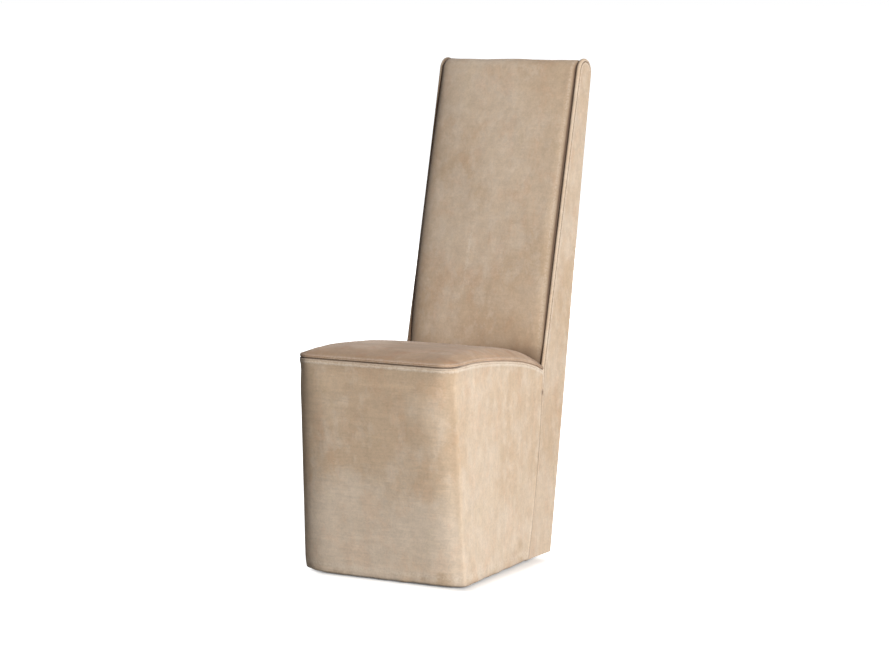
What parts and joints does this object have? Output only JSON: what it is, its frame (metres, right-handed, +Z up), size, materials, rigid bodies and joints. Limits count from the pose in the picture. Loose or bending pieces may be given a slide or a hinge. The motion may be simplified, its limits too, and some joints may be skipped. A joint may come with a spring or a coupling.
{
  "type": "parsons chair",
  "caption": "Dining chair upholstered all over in washed leather, with a tall raked back between cheek panels, a crowned seat and a skirted base to the floor.",
  "frame": {"origin": "middle of the bounding box at floor level", "axes": "+Z up; the sitter faces -Y; +X is the sitter's left"},
  "size_m": [0.4148, 0.6876, 1.139],
  "materials": {
    "leather": "matte",
    "frame_wood": "matte",
    "board": "matte",
    "foam": "matte",
    "wadding": "matte",
    "webbing": "matte",
    "dust_cloth": "matte",
    "steel": "satin"
  },
  "bodies": {
    "root": {"skirt_cover": "leather", "seat_cover": "leather", "inside_back_cover": "leather", "outside_back_cover": "leather", "cheek_cover_left": "leather", "cheek_cover_right": "leather", "seat_rail_front": "frame_wood", "seat_rail_rear": "frame_wood", "base_rail_front": "frame_wood", "base_rail_rear": "frame_wood", "back_rail_lower": "frame_wood", "back_rail_middle": "frame_wood", "crest_rail": "frame_wood", "seat_rail_left": "frame_wood", "seat_rail_right": "frame_wood", "base_rail_left": "frame_wood", "base_rail_right": "frame_wood", "front_leg_left": "frame_wood", "front_leg_right": "frame_wood", "rear_post_left": "frame_wood", "rear_post_right": "frame_wood", "corner_block_front_left": "frame_wood", "corner_block_front_right": "frame_wood", "corner_block_rear_left": "frame_wood", "corner_block_rear_right": "frame_wood", "skirt_panel_front": "board", "outside_back_panel": "board", "skirt_panel_left": "board", "skirt_panel_right": "board", "cheek_board_left": "board", "cheek_board_right": "board", "seat_foam": "foam", "back_foam": "foam", "base_pad_front": "foam", "base_pad_left": "foam", "base_pad_right": "foam", "seat_wadding": "wadding", "back_wadding": "wadding", "seat_burlap": "webbing", "back_strap_1": "webbing", "back_strap_2": "webbing", "back_strap_3": "webbing", "back_strap_4": "webbing", "dust_cover": "dust_cloth", "clip_strip_front": "steel", "clip_strip_rear": "steel", "seat_spring_1": "steel", "seat_spring_2": "steel", "seat_spring_3": "steel", "seat_spring_4": "steel", "block_screw_front_left": "steel", "block_screw_front_right": "steel", "block_screw_rear_left": "steel", "block_screw_rear_right": "steel", "glide_front_left": "steel", "glide_front_right": "steel", "glide_rear_left": "steel", "glide_rear_right": "steel"}
  },
  "joints": []
}
